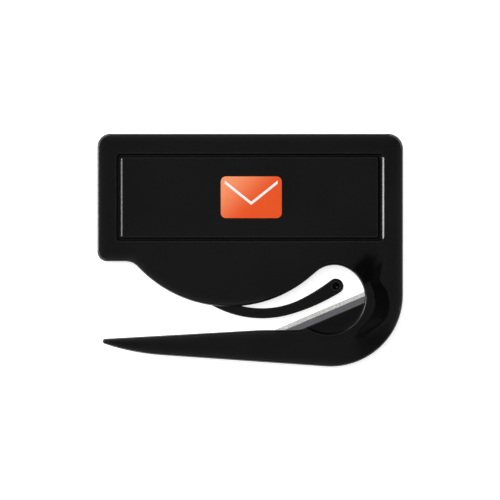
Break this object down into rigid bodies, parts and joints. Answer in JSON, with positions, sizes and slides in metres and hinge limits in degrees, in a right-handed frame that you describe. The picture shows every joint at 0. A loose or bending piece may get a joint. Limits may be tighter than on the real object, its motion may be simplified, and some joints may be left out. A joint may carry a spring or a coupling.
{
  "type": "letter slitter",
  "caption": "Flat hand-held letter slitter: a header with a framed panel, a hook with a slanting steel blade, a long tapered spike and a springy guide finger over the blade.",
  "frame": {"origin": "middle of the outline's box, on the flat back", "axes": "+X along the header from the spike's tip side to the hook's side, +Y from the spike up to the header, +Z out of the front with the framed panel"},
  "size_m": [0.0822, 0.0628, 0.0048],
  "materials": {
    "front_plastic": "glossy black, moulded",
    "back_plastic": "glossy black, moulded",
    "blade_steel": "ground and brushed strip steel",
    "finger_plastic": "glossy black, moulded"
  },
  "bodies": {
    "body": {"front_shell": "front_plastic", "back_shell": "back_plastic", "blade": "blade_steel"},
    "finger": {"guide_finger": "finger_plastic"}
  },
  "joints": [
    {"name": "guide_finger_flex", "type": "hinge", "parent": "body", "child": "finger", "pos_m": [-0.01501, -0.0095, 0.0024], "axis": [0, 0, 1], "range_deg": [-2.5, 5], "stiffness_Nm_per_rad": 0.25}
  ]
}
